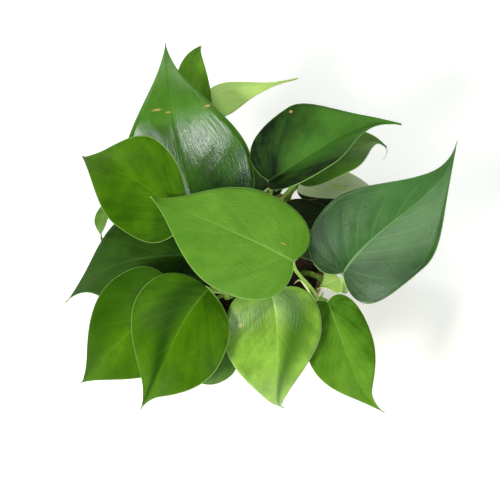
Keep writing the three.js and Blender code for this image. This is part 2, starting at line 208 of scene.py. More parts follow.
def soil_height(x, y):
    """The height of the soil's surface in mm: the mound, with wide lumps and small ones."""
    share = min(1.0, math.hypot(x, y) / soil_edge_radius)
    lumps = noise.noise(Vector((x, y, 3.0)) / wide_lump) * wide_lump_height
    lumps += noise.noise(Vector((x, y, 8.0)) / small_lump) * small_lump_height
    return soil_edge + soil_mound * (1 - share * share) + lumps * min(1.0, 4 * (1 - share))


def peat_potting_mix():
    """Moist peat: nearly black brown, crumbly and dull, with paler dry fibres."""
    material, tree, output = new_material("moist_peat_mix")
    place = add_node(tree, "TexCoord").outputs["Object"]
    clods = add_node(tree, "TexNoise", {"Vector": place, "Scale": 1 / (5 * MM), "Detail": 6.0})
    crumbs = add_node(tree, "TexVoronoi", {"Vector": place, "Scale": 1 / (1.1 * MM)})
    tone = add_node(
        tree, "Mix", {0: clods.outputs[0], 6: linear("120c06"), 7: linear("3b2a18")}, data_type="RGBA"
    )
    dry = add_node(tree, "MapRange", {0: crumbs.outputs["Color"], 1: 0.7, 2: 1.0, 3: 0.0, 4: 0.7})
    dusted = add_node(
        tree, "Mix", {0: dry.outputs[0], 6: tone.outputs[2], 7: linear("5b4226")}, data_type="RGBA"
    )
    height = add_node(tree, "Math", {0: clods.outputs[0], 1: crumbs.outputs["Distance"]}, operation="ADD")
    bump = add_node(tree, "Bump", {"Height": height.outputs[0], "Strength": 0.8, "Distance": 0.6 * MM})
    shader = add_node(
        tree,
        "BsdfPrincipled",
        {"Base Color": dusted.outputs[2], "Roughness": 0.85, "Normal": bump.outputs[0]},
    )
    tree.links.new(shader.outputs[0], output.inputs[0])
    return material


bpy.ops.mesh.primitive_circle_add(
    vertices=soil_sides, radius=soil_foot * MM, fill_type="NGON", location=(0, 0, soil_low * MM)
)
soil = bpy.context.object
bpy.ops.object.transform_apply(location=True)
top_profile = [(soil_edge_radius * (1 - i / (soil_steps + 1)), soil_edge) for i in range(soil_steps + 1)]
bpy.ops.object.mode_set(mode="EDIT")
bpy.ops.mesh.select_all(action="SELECT")
raise_rings(top_profile, soil_foot, soil_low)
bpy.ops.mesh.select_all(action="SELECT")
bpy.ops.mesh.normals_make_consistent(inside=False)
bpy.ops.object.mode_set(mode="OBJECT")
for vertex in soil.data.vertices:
    if vertex.co.z > (soil_edge - 1) * MM:
        vertex.co.z = soil_height(vertex.co.x / MM, vertex.co.y / MM) * MM

draw = random.Random(11)
crumbs = []
for i in range(crumb_count + chip_count):
    reach = (soil_edge_radius - bare_edge) * math.sqrt(draw.random())
    turn = draw.uniform(0, 2 * math.pi)
    x, y = reach * math.cos(turn), reach * math.sin(turn)
    chip = i >= crumb_count
    size = draw.uniform(*(chip_size if chip else crumb_size))
    if i == 0:
        bpy.ops.mesh.primitive_ico_sphere_add(subdivisions=1, radius=MM)
        crumb = bpy.context.object
    else:
        crumb = crumbs[0].copy()
        crumb.data = crumbs[0].data.copy()
        bpy.context.collection.objects.link(crumb)
    crumb.location = Vector((x, y, soil_height(x, y) + 0.25 * size)) * MM
    crumb.rotation_euler = [draw.uniform(0, math.pi) for _ in range(3)]
    narrower = draw.uniform(0.5, 0.9)
    flatter = chip_flatness if chip else draw.uniform(0.5, 0.9)
    crumb.scale = (size, size * narrower, size * flatter)
    for vertex in crumb.data.vertices:
        vertex.co *= draw.uniform(0.8, 1.15)
    crumbs.append(crumb)
heap = join(crumbs, "soil_crumbs")
bpy.ops.object.transform_apply(location=True, rotation=True, scale=True)
soil = join([soil, heap], "potting_soil")
bpy.ops.object.shade_smooth_by_angle(angle=math.radians(soil_smooth_below))
soil.data.materials.append(peat_potting_mix())
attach(soil, "root")
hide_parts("soil")

# The blades.
# Heart-shaped leaves, thin, smooth and leathery, each grown in one piece with a midrib that stands out.
# A blade hangs from its petiole's end, with its lobes reaching back past it and its tip drawn out.

# The outline runs from the sinus round the lobe to the widest place, then by shoulder and waist to the tip.
# A longer drip tip draws those two in. The mesh is finer near the tip and along the midrib.
blade_thickness = 0.45
blade_rows = 112
blade_columns = 40
tip_crowding = 1.3
rib_crowding = 1.5
half_width = 0.35
lobe_start = 0.1
shoulder_beyond, shoulder_drawn = 0.3, 0.08
waist_along, waist_drawn, waist_across, waist_narrowed = 0.82, 0.1, 0.12, 0.06
wave_height, wave_rate = 1.0, 4.2
vein_spacing = 0.2
vein_forward = 0.14
quilt_height = 0.045
groove_depth = 0.22
groove_width = 0.8
rib_thickness = 1.3
rib_half = 1.1
thinness = blade_thickness / rib_thickness
hook_start = 0.78

# The usual shape of a blade, as shares of its length or half width, and then what sets each one apart.
# hook bends the last stretch of the tip by that many mm, and waves sets where the two margins' waves start.
usual = {
    "roll": 0, "arch": 0.1, "fold": 0.1, "cup": 0.1, "bend": 0, "late": 0, "lobe": 0.12, "drip": 0.5,
    "uneven": 0, "widest": 0.3, "hook": (0, 0, 0), "waves": (0.6, 2.9), "tone": "dark",
}
blades = {
    "leaf_01": {
        "base": (28, -44, 186), "tip": (-55, 0, 177), "width": 67, "roll": -4, "arch": 0.03, "cup": 0.12,
        "bend": -0.01, "late": -0.4, "lobe": 0.08, "drip": 0.3, "uneven": 0.07, "widest": 0.33,
        "hook": (-2, 3, 0), "tone": "crown",
    },
    "leaf_02": {
        "base": (59, -41, 163), "tip": (131, 42, 168), "width": 69, "roll": 2, "arch": 0.03, "fold": 0.35,
        "cup": 0.15, "bend": -0.04, "late": 2, "lobe": 0.14, "drip": 1.5, "uneven": -0.04, "widest": 0.28,
        "hook": (1, 4, 0), "tone": "sheen",
    },
    "leaf_03": {
        "base": (-31, 11, 138), "tip": (-52, 119, 161), "width": 82, "roll": -5, "arch": 0.04,
        "bend": 0.026, "late": 0.1, "lobe": 0.13, "drip": 0.9, "uneven": -0.05, "widest": 0.26,
        "hook": (0, 4, 0), "waves": (1.8, 2.9), "tone": "glossy",
    },
    "leaf_04": {
        "base": (-37, -9, 161), "tip": (-109, 64, 122), "width": 59, "roll": -34, "fold": 0.55,
        "cup": 0.15, "bend": -0.066, "late": -1, "lobe": 0, "drip": 1.5, "uneven": -0.03,
        "hook": (2, -3, 0), "tone": "mid",
    },
    "leaf_05": {
        "base": (-22, -46, 150), "tip": (-66, -94, 87), "width": 67, "arch": 0.16, "fold": 0.42,
        "cup": 0.2, "bend": 0.053, "late": 1.3, "lobe": 0.02, "drip": 0.9, "uneven": 0.06, "widest": 0.28,
        "hook": (0, -7, 0), "tone": "mid",
    },
    "leaf_06": {
        "base": (-45, -47, 140), "tip": (-104, -79, 74), "width": 66, "roll": -16, "cup": 0.2,
        "bend": -0.013, "lobe": 0.08, "drip": 0.7, "uneven": 0.03, "widest": 0.27, "hook": (-2, 0, 0),
        "tone": "mid",
    },
    "leaf_07": {
        "base": (-29, -7, 116), "tip": (-115, -20, 75), "width": 74, "cup": 0.2, "bend": -0.072,
        "late": 0.6, "drip": 0.8, "uneven": 0.03, "widest": 0.38, "hook": (-4, -3, 0),
    },
    "leaf_08": {
        "base": (16, -50, 150), "tip": (23, -102, 80), "width": 60, "roll": -3, "arch": 0.14, "fold": 0.13,
        "cup": 0.15, "bend": -0.03, "late": 2, "lobe": 0.08, "drip": 1.3, "uneven": -0.06, "widest": 0.26,
        "hook": (1, 4, 0), "tone": "light",
    },
    "leaf_09": {
        "base": (51, -48, 134), "tip": (81, -95, 72), "width": 42, "roll": 22, "fold": 0.3, "cup": 0.2,
        "bend": -0.015, "late": 1.2, "lobe": 0.08, "uneven": -0.11, "widest": 0.33, "hook": (8, -4, 0),
        "tone": "spring",
    },
    "leaf_10": {
        "base": (15, 28, 150), "tip": (99, 72, 151), "width": 63, "roll": -17, "arch": 0.06, "fold": 0.72,
        "bend": 0.023, "late": 2, "lobe": 0.095, "drip": 1.6, "uneven": -0.08, "widest": 0.34,
        "hook": (1, -4, 0), "tone": "painted_shade_base",
    },
    "leaf_11": {
        "base": (33, 40, 138), "tip": (94, 74, 121), "width": 44, "roll": -10, "arch": 0.12, "fold": 0.3,
        "bend": 0.005, "lobe": 0.09, "drip": 1.2, "uneven": -0.05, "widest": 0.36, "hook": (-1, -6, 0),
        "tone": "lower",
    },
    "leaf_12": {
        "base": (26, 20, 112), "tip": (82, -2, 90), "width": 38, "roll": 12, "tone": "shaded",
    },
    "leaf_13": {
        "base": (-33, 76, 136), "tip": (-30, 140, 132), "width": 24, "arch": 0.14, "fold": 0.4, "cup": 0.3,
        "bend": 0.055, "late": 0.6, "drip": 0, "widest": 0.23, "tone": "spring",
    },
    "leaf_14": {
        "base": (-29, 94, 127), "tip": (29, 116, 131), "width": 25, "roll": -3, "arch": 0.04,
        "fold": -0.47, "cup": 0, "bend": 0.058, "late": -2.6, "lobe": 0.04, "drip": 1.9, "uneven": -0.2,
        "widest": 0.27, "hook": (6, -1, 0), "tone": "pale",
    },
    "leaf_15": {
        "base": (-89, 25, 120), "tip": (-96, 17, 86), "width": 8.4, "arch": 0.04, "fold": 0.6, "cup": 0,
        "bend": -0.03, "tone": "young",
    },
    "leaf_16": {
        "base": (-11, -67, 106), "tip": (-49, -77, 89), "width": 39, "roll": -10, "arch": 0.1,
        "tone": "lower",
    },
    "leaf_17": {
        "base": (58, -34, 137), "tip": (44, -41, 138), "width": 16, "arch": 0.04, "fold": 0.1,
        "lobe": 0.04, "drip": 1.8, "tone": "pale",
    },
    "leaf_18": {
        "base": (38, 44, 118), "tip": (88, 43, 104), "width": 24, "tone": "grey_painted_light",
    },
    "leaf_19": {
        "base": (72, -8, 118), "tip": (118, 26, 90), "width": 50,
    },
    "leaf_20": {
        "base": (-44, 2, 106), "tip": (-98, 6, 68), "width": 50,
    },
    "leaf_21": {
        "base": (-38, -38, 102), "tip": (-76, -64, 66), "width": 50,
    },
    "leaf_22": {
        "base": (34, -44, 102), "tip": (60, -70, 80), "width": 38, "arch": 0.12,
    },
    "leaf_23": {
        "base": (-40, 42, 112), "tip": (-52, 104, 92), "width": 52, "roll": 4,
    },
    "leaf_24": {
        "base": (34, 54, 108), "tip": (52, 102, 84), "width": 50,
    },
    "leaf_25": {
        "base": (10, 34, 122), "tip": (8, 72, 106), "width": 34,
    },
    "leaf_26": {
        "base": (39, 38, 103), "tip": (88, 47, 84), "width": 34, "roll": 4, "tone": "shaded",
    },
}

# The usual wax: how rough it is, how much it mirrors, how strong and how rough the clear coat on it is, and
# how deep its puckers are in mm. A tone gives its green at the base and the lighter one to the tip, then its
# veins, margin and underside, how much it lightens to the tip, how boldly its veins show, and its own wax.
# The darker base is partly the blade's own green and partly painted shade, where upper blades shadow it.
usual_wax = {"rough": 0.45, "level": 0.3, "coat": 0.0, "coat_rough": 0.3, "pucker": 0.16}
tones = {
    "crown": {
        "deep": "3d6c06", "light": "5f8e26", "vein": "82ac48", "edge": "9cc078", "under": "6f9a48",
        "rise": 0.1, "bold": 0.35, "rough": 0.46, "level": 0.1, "coat": 0.12, "pucker": 0.3,
    },
    "light": {
        "deep": "3c6a04", "light": "96c444", "vein": "98c058", "edge": "bcd890", "under": "82aa54",
        "rise": 0.3, "bold": 0.25,
        "rough": 0.42, "level": 0.1, "coat": 0.7, "coat_rough": 0.1, "pucker": 0.17,
    },
    "spring": {
        "deep": "285200", "light": "66962a", "vein": "84ac50", "edge": "a0c472", "under": "6c9246",
        "rise": 0.5, "bold": 0.3, "rough": 0.44, "level": 0.05, "pucker": 0.2,
    },
    "mid": {
        "deep": "1e4200", "light": "4a7605", "vein": "6c9a38", "edge": "a0c472", "under": "6c9246",
        "rise": 0.3, "bold": 0.22, "rough": 0.42, "level": 0.05, "pucker": 0.2,
    },
    "sheen": {
        "deep": "1a400e", "light": "467638", "vein": "80a870", "edge": "96ba7c", "under": "688e54",
        "rise": 0.7, "bold": 0.45,
        "rough": 0.36, "level": 0.35, "coat": 0.5, "coat_rough": 0.2, "pucker": 0.1,
    },
    "glossy": {
        "deep": "143c02", "light": "487a1a", "vein": "2c5a34", "edge": "7ea85e", "under": "64894a",
        "rise": 0.7, "bold": 0.3, "level": 0.1, "coat": 0.9, "coat_rough": 0.1, "pucker": 0.075,
    },
    "dark": {
        "deep": "0c2600", "light": "2e5210", "vein": "4c7c30", "edge": "86ae64", "under": "5e8644",
        "rise": 0.6, "bold": 0.3, "rough": 0.42, "level": 0.15,
    },
    "lower": {
        "deep": "2e5c08", "light": "648e34", "vein": "7ea25a", "edge": "9cbc7c", "under": "6c9246",
        "rise": 0.3, "bold": 0.4, "rough": 0.4,
    },
    # Painted shade: a dark green blade whose base is painted nearly black where an upper blade shadows it.
    "painted_shade_base": {
        "deep": "071c03", "light": "457428", "vein": "4c7c30", "edge": "86ae64", "under": "5e8644",
        "rise": 0.9, "bold": 0.35, "rough": 0.5, "level": 0.1,
    },
    "shaded": {
        "deep": "1c250e", "light": "2e3a1c", "vein": "828c68", "edge": "a3ad86", "under": "6d7a54",
        "rise": 0.0, "bold": 0.5, "rough": 0.55, "level": 0.2,
    },
    # Partly painted light: the blade's own pale grey green, painted near white so that it looks lit where it
    # lies in shade.
    "grey_painted_light": {
        "deep": "d4deba", "light": "dee6c6", "vein": "e2eacc", "edge": "e6eed2", "under": "b8c49a",
        "rise": 0.0, "bold": 0.4, "rough": 0.55,
    },
    "pale": {
        "deep": "9cc05c", "light": "b2d074", "vein": "c8de9a", "edge": "d4e6b0", "under": "c4dc98",
        "rise": 0.2, "bold": 0.35,
    },
    "young": {
        "deep": "3c6416", "light": "6c9830", "vein": "84a854", "edge": "8cac68", "under": "6a8e48",
        "rise": 0.4, "bold": 0.3,
    },
}


def cubic(t, a, b, c, d):
    """A cubic curve of numbers or vectors."""
    u = 1 - t
    return a * u**3 + b * (3 * t * u * u) + c * (3 * t * t * u) + d * t**3


def smooth_line(points, steps):
    """Points at even distances along a smooth curve that passes through the given ones without loops."""
    ends = [points[0] * 2 - points[1], *points, points[-1] * 2 - points[-2]]
    fine = []
    for i in range(len(points) - 1):
        a, b, c, d = ends[i : i + 4]
        before, along, after = (b - a).length ** 0.5, (c - b).length ** 0.5, (d - c).length ** 0.5
        leave = ((b - a) / before - (c - a) / (before + along) + (c - b) / along) * along
        arrive = ((c - b) / along - (d - b) / (along + after) + (d - c) / after) * along
        fine += [cubic(t / steps, b, b + leave / 3, c - arrive / 3, c) for t in range(steps)]
    fine.append(points[-1])
    reach = [0.0]
    for i in range(1, len(fine)):
        reach.append(reach[-1] + (fine[i] - fine[i - 1]).length)
    line = []
    near = 0
    for i in range(steps + 1):
        goal = reach[-1] * i / steps
        while near < len(fine) - 2 and reach[near + 1] < goal:
            near += 1
        share = (goal - reach[near]) / (reach[near + 1] - reach[near])
        line.append(fine[near].lerp(fine[near + 1], share))
    return line


def tube(line, radii, sides):
    """A round closed tube along a line in mm, with its radius at each point."""
    bpy.ops.curve.primitive_nurbs_path_add()
    piece = bpy.context.object
    curve = piece.data
    curve.splines.clear()
    spline = curve.splines.new("POLY")
    spline.points.add(len(line) - 1)
    for point, place, radius in zip(spline.points, line, radii):
        point.co = (*(place * MM), 1)
        point.radius = radius
    curve.bevel_depth = MM
    curve.bevel_resolution = sides // 4
    curve.use_fill_caps = True
    bpy.ops.object.convert(target="MESH")
    return bpy.context.object


# A few blades carry small healed nicks: the row, the place across, and half the length and width in mm.
scar_brown = "b89a5c"
scars = {
    "leaf_01": ((0.96, -0.21, 2.0, 0.3),),
    "leaf_03": ((1.64, 0.66, 0.7, 3.0), (1.72, 0.24, 0.5, 1.8), (1.5, -0.93, 0.8, 2.0)),
    "leaf_08": ((0.94, -0.69, 1.2, 0.9),),
    "leaf_10": ((1.06, 0.9, 1.2, 0.8),),
}
# Painted shade on some blades, a lengthwise strip of deeper green: its place across, its half width and its
# depth.
painted_shade_flanks = {"leaf_05": (-0.32, 0.42, 1.0), "leaf_06": (-0.8, 0.9, 0.6), "leaf_08": (0.45, 0.5, 1.0)}
# The last thin thread of some tips, which dries and curls, as points in mm.
tails = {
    "leaf_02": ((131.8, 45.2, 168), (132.2, 46.6, 168.6), (132.4, 48.0, 169.4)),
    "leaf_04": ((-106.6, 60.6, 122), (-105.5, 61.9, 124), (-103.2, 62.5, 125)),
    "leaf_11": (
        (92.4, 68.6, 120.6), (93.6, 67.4, 119), (93.5, 65.6, 118), (92.2, 63.1, 117), (90.8, 61.2, 116.5),
    ),
    "leaf_13": (
        (-30, 138.9, 132), (-26, 139.6, 133), (-21.2, 138.7, 133), (-17.9, 136.8, 131), (-15.9, 134, 128),
    ),
}
tail_radius = 0.55
tail_taper = 0.45
tail_steps = 20
tail_sides = 8
tail_on_map = (0.9, 0.7)


def blade_frame(blade):
    """The base, the direction to the tip, the face's normal, the left side and the length, in mm."""
    base = Vector(blade["base"])
    forward = Vector(blade["tip"]) - base
    length = forward.length
    forward.normalize()
    normal = (Vector((0, 0, 1)) - forward * forward.z).normalized()
    turn = math.radians(blade["roll"])
    normal = normal * math.cos(turn) + forward.cross(normal) * math.sin(turn)
    return base, forward, normal, normal.cross(forward), length


def margin_point(blade, row):
    """A place on the outline of a half blade one unit long. Row 0 is at the sinus and row 2 at the tip."""
    if row <= 1:
        x = cubic(row, 0, -blade["lobe"], -blade["lobe"], blade["widest"])
        return x, cubic(row, 0, lobe_start, half_width, half_width)
    shoulder = blade["widest"] + shoulder_beyond - shoulder_drawn * blade["drip"]
    waist = waist_along - waist_drawn * blade["drip"]
    narrow = waist_across - waist_narrowed * blade["drip"]
    x = cubic(row - 1, blade["widest"], shoulder, waist, 1)
    return x, cubic(row - 1, half_width, half_width, narrow, 0)


def vein_place(row, across):
    """Where a point lies among the lateral veins, which run forward as they near the margin."""
    return row - vein_forward * across * across


def blade_point(blade, built, row, across):
    """A point of a blade's upper face in mm, with its midrib sunk in and its flesh quilted between veins."""
    base, forward, normal, side, length = built
    margin_x, margin_y = margin_point(blade, row)
    rib = (row / 2) ** 4
    share = abs(across)
    x = rib + (margin_x - rib) * share
    y = margin_y * across / half_width
    half = blade["width"] / 2 * (1 + math.copysign(blade["uneven"], blade["uneven"] * across))
    bow = 4 * x * (1 - x)
    start = blade["waves"][0 if across > 0 else 1]
    wave = wave_height * share * share * math.sin(wave_rate * row + start)
    height = blade["arch"] * length * bow + half * (blade["fold"] * abs(y) - blade["cup"] * y * y) + wave
    height -= groove_depth * math.exp(-((half * y / groove_width) ** 2)) * (1 - x * x)
    swell = math.cos(2 * math.pi * vein_place(row, across) / vein_spacing)
    height -= quilt_height * swell * 4 * share * (1 - share) * min(1, margin_y / half_width * 1.5)
    height += blade_thickness / 2
    bend = blade["bend"] * length * bow * (1 + blade["late"] * (2 * x - 1))
    late = max(0.0, (x - hook_start) / (1 - hook_start))
    place = base + forward * (x * length) + side * (half * y + bend) + normal * height
    return place + Vector(blade["hook"]) * (late * late)


# Patterns that run with the veins are laid out on the map of a blade of this length and width in mm.
map_length, map_width = 88, 78
band_length, band_width = 5.5, 26
pucker_length, pucker_width = 8, 1.5
lateral_half = 0.007
midrib_inner, midrib_outer = 0.004, 0.035
margin_start = 0.978
ridges_between_veins = 7
underside_rough = 0.6


def blade_skin(name, tone, upper, nicks=(), shade_flank=None):
    """Waxy living leaf: mottled green flesh, paler veins and margin, and a fine grain along the veins.

    The eye gets an uneven gloss, broken up by small puckers, from the wax on the upper face, and a matte
    paler green below. Real cells are finer than this grain, which is as coarse as it needs to be to show.
    A nick is given by its centre and its ways along and across, each divided by its half size that way.
    A shade flank is painted shade, a lengthwise strip of deeper green: its place across, half width and
    depth.
    """
    look = {**usual_wax, **tones[tone]}
    material, tree, output = new_material(name)
    place = add_node(tree, "TexCoord").outputs["Object"]
    uv = add_node(tree, "UVMap", uv_map="UVMap")
    split = add_node(tree, "SeparateXYZ", {0: uv.outputs[0]})
    across = add_node(tree, "Math", {0: split.outputs[1], 1: 2.0, 2: -1.0}, operation="MULTIPLY_ADD")
    share = add_node(tree, "Math", {0: across.outputs[0]}, operation="ABSOLUTE")
    blotches = add_node(
        tree, "TexNoise", {"Vector": place, "Scale": 1 / (16 * MM), "Detail": 4.0, "Roughness": 0.6}
    )
    mottle = add_node(
        tree, "TexNoise", {"Vector": place, "Scale": 1 / (2.2 * MM), "Detail": 3.0, "Roughness": 0.65}
    )
    band_scale = (map_length / band_length, map_width / band_width, 1)
    along_veins = add_node(tree, "Mapping", {"Vector": uv.outputs[0], "Scale": band_scale})
    bands = add_node(
        tree, "TexNoise", {"Vector": along_veins.outputs[0], "Scale": 1.0, "Detail": 2.0, "Roughness": 0.5}
    )
    clouds = add_node(
        tree, "Math", {0: bands.outputs[0], 1: 0.6, 2: blotches.outputs[0]}, operation="MULTIPLY_ADD"
    )
    mixed = add_node(
        tree, "Math", {0: mottle.outputs[0], 1: 0.2, 2: clouds.outputs[0]}, operation="MULTIPLY_ADD"
    )
    darkest, lightest = 0.1 - 0.35 * look["rise"], 0.8 - 0.55 * look["rise"]
    patchy = add_node(tree, "MapRange", {0: mixed.outputs[0], 1: 0.6, 2: 1.2, 3: darkest, 4: lightest})
    # Partly painted shade: darker at the base and lighter to the tip, the blade's own green and the shade of
    # the blades above.
    tip_light_base_shade = add_node(
        tree,
        "MapRange",
        {0: split.outputs[0], 1: 0.38, 2: 0.78, 3: 0.0, 4: look["rise"]},
        interpolation_type="SMOOTHSTEP",
    )
    lightness = add_node(
        tree, "Math", {0: tip_light_base_shade.outputs[0], 1: patchy.outputs[0]}, operation="ADD", use_clamp=True
    )
    # Painted shade: a lengthwise strip of deeper green where a fold or an upper blade shades the blade.
    if shade_flank:
        middle, half, depth = shade_flank
        off = add_node(tree, "Math", {0: across.outputs[0], 1: middle}, operation="SUBTRACT")
        away = add_node(tree, "Math", {0: off.outputs[0]}, operation="ABSOLUTE")
        kept = add_node(
            tree,
            "MapRange",
            {0: away.outputs[0], 1: 0.0, 2: half, 3: 1 - depth, 4: 1.0},
            interpolation_type="SMOOTHSTEP",
        )
        lightness = add_node(
            tree, "Math", {0: lightness.outputs[0], 1: kept.outputs[0]}, operation="MULTIPLY"
        )
    deep = linear(look["deep"] if upper else look["under"])
    light = linear(look["light"] if upper else look["under"])
    flesh = add_node(tree, "Mix", {0: lightness.outputs[0], 6: deep, 7: light}, data_type="RGBA")
    # The map counts a row as a half, and a ping-pong of half a spacing comes back to zero at each vein.
    vein_gap = vein_spacing / 4
    laterals = add_node(tree, "Math", {0: split.outputs[0], 1: vein_gap}, operation="PINGPONG")
    lateral_line = add_node(
        tree, "MapRange", {0: laterals.outputs[0], 1: 0.0, 2: lateral_half, 3: 0.4 * look["bold"], 4: 0.0}
    )
    inner = add_node(tree, "MapRange", {0: share.outputs[0], 1: 0.35, 2: 0.9, 3: 1.0, 4: 0.0})
    lateral = add_node(
        tree, "Math", {0: lateral_line.outputs[0], 1: inner.outputs[0]}, operation="MULTIPLY"
    )
    midrib = add_node(
        tree,
        "MapRange",
        {0: share.outputs[0], 1: midrib_inner, 2: midrib_outer, 3: 1.4 * look["bold"], 4: 0.0},
    )
    veins = add_node(tree, "Math", {0: lateral.outputs[0], 1: midrib.outputs[0]}, operation="MAXIMUM")
    veined = add_node(
        tree, "Mix", {0: veins.outputs[0], 6: flesh.outputs[2], 7: linear(look["vein"])}, data_type="RGBA"
    )
    margin = add_node(tree, "MapRange", {0: share.outputs[0], 1: margin_start, 2: 1.0, 3: 0.0, 4: 0.5})
    edged = add_node(
        tree, "Mix", {0: margin.outputs[0], 6: veined.outputs[2], 7: linear(look["edge"])}, data_type="RGBA"
    )
    ridge_gap = vein_gap / ridges_between_veins
    fine = add_node(tree, "Math", {0: split.outputs[0], 1: ridge_gap}, operation="PINGPONG")
    ridge = add_node(tree, "MapRange", {0: fine.outputs[0], 1: 0.0, 2: ridge_gap})
    grain = add_node(tree, "TexNoise", {"Vector": place, "Scale": 1 / (0.7 * MM), "Detail": 2.0})
    pucker_scale = (map_length / pucker_length, map_width / pucker_width, 1)
    stretched = add_node(tree, "Mapping", {"Vector": uv.outputs[0], "Scale": pucker_scale})
    puckers = add_node(
        tree, "TexNoise", {"Vector": stretched.outputs[0], "Scale": 1.0, "Detail": 3.0, "Roughness": 0.6}
    )
    relief = add_node(
        tree, "Math", {0: ridge.outputs[0], 1: 0.12, 2: grain.outputs[0]}, operation="MULTIPLY_ADD"
    )
    swelling = add_node(
        tree, "Math", {0: puckers.outputs[0], 1: 3.0, 2: relief.outputs[0]}, operation="MULTIPLY_ADD"
    )
    bump = add_node(
        tree, "Bump", {"Height": swelling.outputs[0], "Strength": 0.6, "Distance": look["pucker"] * MM}
    )
    rough = look["rough"] if upper else underside_rough
    wax = add_node(
        tree, "MapRange", {0: blotches.outputs[0], 1: 0.3, 2: 0.7, 3: rough - 0.05, 4: rough + 0.07}
    )
    skin = edged.outputs[2]
    for centre, onward, outward in nicks:
        shifted = add_node(tree, "VectorMath", {0: place, 1: centre}, operation="SUBTRACT")
        lengthwise = add_node(
            tree, "VectorMath", {0: shifted.outputs[0], 1: onward}, operation="DOT_PRODUCT"
        )
        sideways = add_node(
            tree, "VectorMath", {0: shifted.outputs[0], 1: outward}, operation="DOT_PRODUCT"
        )
        scaled = add_node(
            tree, "CombineXYZ", {0: lengthwise.outputs["Value"], 1: sideways.outputs["Value"]}
        )
        reach = add_node(tree, "VectorMath", {0: scaled.outputs[0]}, operation="LENGTH")
        ragged = add_node(
            tree, "Math", {0: grain.outputs[0], 1: 1.2, 2: reach.outputs["Value"]}, operation="MULTIPLY_ADD"
        )
        healed = add_node(tree, "MapRange", {0: ragged.outputs[0], 1: 1.1, 2: 1.9, 3: 0.9, 4: 0.0})
        marked = add_node(
            tree, "Mix", {0: healed.outputs[0], 6: skin, 7: linear(scar_brown)}, data_type="RGBA"
        )
        skin = marked.outputs[2]
    shader = add_node(
        tree,
        "BsdfPrincipled",
        {
            "Base Color": skin,
            "Roughness": wax.outputs[0],
            "IOR": 1.45,
            "Specular IOR Level": look["level"],
            "Normal": bump.outputs[0],
            "Subsurface Weight": 0.12,
            "Subsurface Radius": (0.6, 1.0, 0.25),
            "Subsurface Scale": 1.2 * MM,
            "Coat Weight": look["coat"] if upper else 0.0,
            "Coat Roughness": look["coat_rough"],
            "Coat Normal": bump.outputs[0],
        },
    )
    tree.links.new(shader.outputs[0], output.inputs[0])
    return material


# Each tone's upper and lower skins are made once, and its blades share them.
skins = {}
for tone in tones:
    upper_skin = blade_skin("waxy_blade_" + tone, tone, True)
    skins[tone] = (upper_skin, blade_skin("matte_underside_" + tone, tone, False))

for node, own in blades.items():
    blade = {**usual, **own}
    leaf_label = "blade_" + node[-2:]
    built = blade_frame(blade)
    bpy.ops.mesh.primitive_grid_add(x_subdivisions=blade_rows, y_subdivisions=blade_columns, size=2)
    leaf = bpy.context.object
    mesh = leaf.data
    spots = []
    for vertex in mesh.vertices:
        row = 2 * (1 - (1 - (vertex.co.x + 1) / 2) ** tip_crowding)
        across = math.copysign(abs(vertex.co.y) ** rib_crowding, vertex.co.y)
        spots.append((row, across))
    uv = mesh.uv_layers["UVMap"].data
    for loop in mesh.loops:
        row, across = spots[loop.vertex_index]
        uv[loop.index].uv = (vein_place(row, across) / 2, (across + 1) / 2)
    group = leaf.vertex_groups.new(name="thickness")
    for vertex, (row, across) in zip(mesh.vertices, spots):
        reach = across * margin_point(blade, row)[1] / half_width * blade["width"] / 2
        rib = math.exp(-((reach / rib_half) ** 2)) * (1 - row / 2) ** 0.5
        group.add([vertex.index], thinness + (1 - thinness) * rib, "REPLACE")
        vertex.co = blade_point(blade, built, row, across) * MM
    bpy.ops.object.mode_set(mode="EDIT")
    bpy.ops.mesh.select_all(action="SELECT")
    bpy.ops.mesh.remove_doubles(threshold=0.0001 * MM)
    bpy.ops.object.mode_set(mode="OBJECT")
    upper_skin, under_skin = skins[blade["tone"]]
    # Blades with healed nicks or a strip of painted shade get their own upper skin.
    if node in scars or node in painted_shade_flanks:
        nicks = []
        for row, spot, long, wide in scars.get(node, ()):
            centre = blade_point(blade, built, row, spot) * MM
            nicks.append((centre, built[1] / (long * MM), built[3] / (wide * MM)))
        upper_skin = blade_skin("waxy_nicked_and_shaded_" + leaf_label, blade["tone"], True, nicks, painted_shade_flanks.get(node))
    mesh.materials.append(upper_skin)
    mesh.materials.append(under_skin)
    apply_modifier(
        leaf,
        "SOLIDIFY",
        thickness=rib_thickness * MM,
        offset=-1,
        vertex_group="thickness",
        material_offset=1,
        material_offset_rim=1,
    )
    parts = [leaf]
    if node in tails:
        line = smooth_line([Vector(p) for p in tails[node]], tail_steps)
        widths = [tail_radius * (1 - tail_taper * i / tail_steps) for i in range(tail_steps + 1)]
        tail = tube(line, widths, tail_sides)
        layer = tail.data.uv_layers[0] if tail.data.uv_layers else tail.data.uv_layers.new()
        layer.name = "UVMap"
        for loop in layer.data:
            loop.uv = tail_on_map
        parts.append(tail)
    leaf = join(parts, leaf_label)
    bpy.ops.object.shade_smooth()
    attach(leaf, "root")
    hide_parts(node)

# The stems and petioles.
# Soft green stems grow up out of the soil, with a leaf stalk, the petiole, from each node.
# Stem and petioles are one living body, smooth and fleshy, swollen where they join.

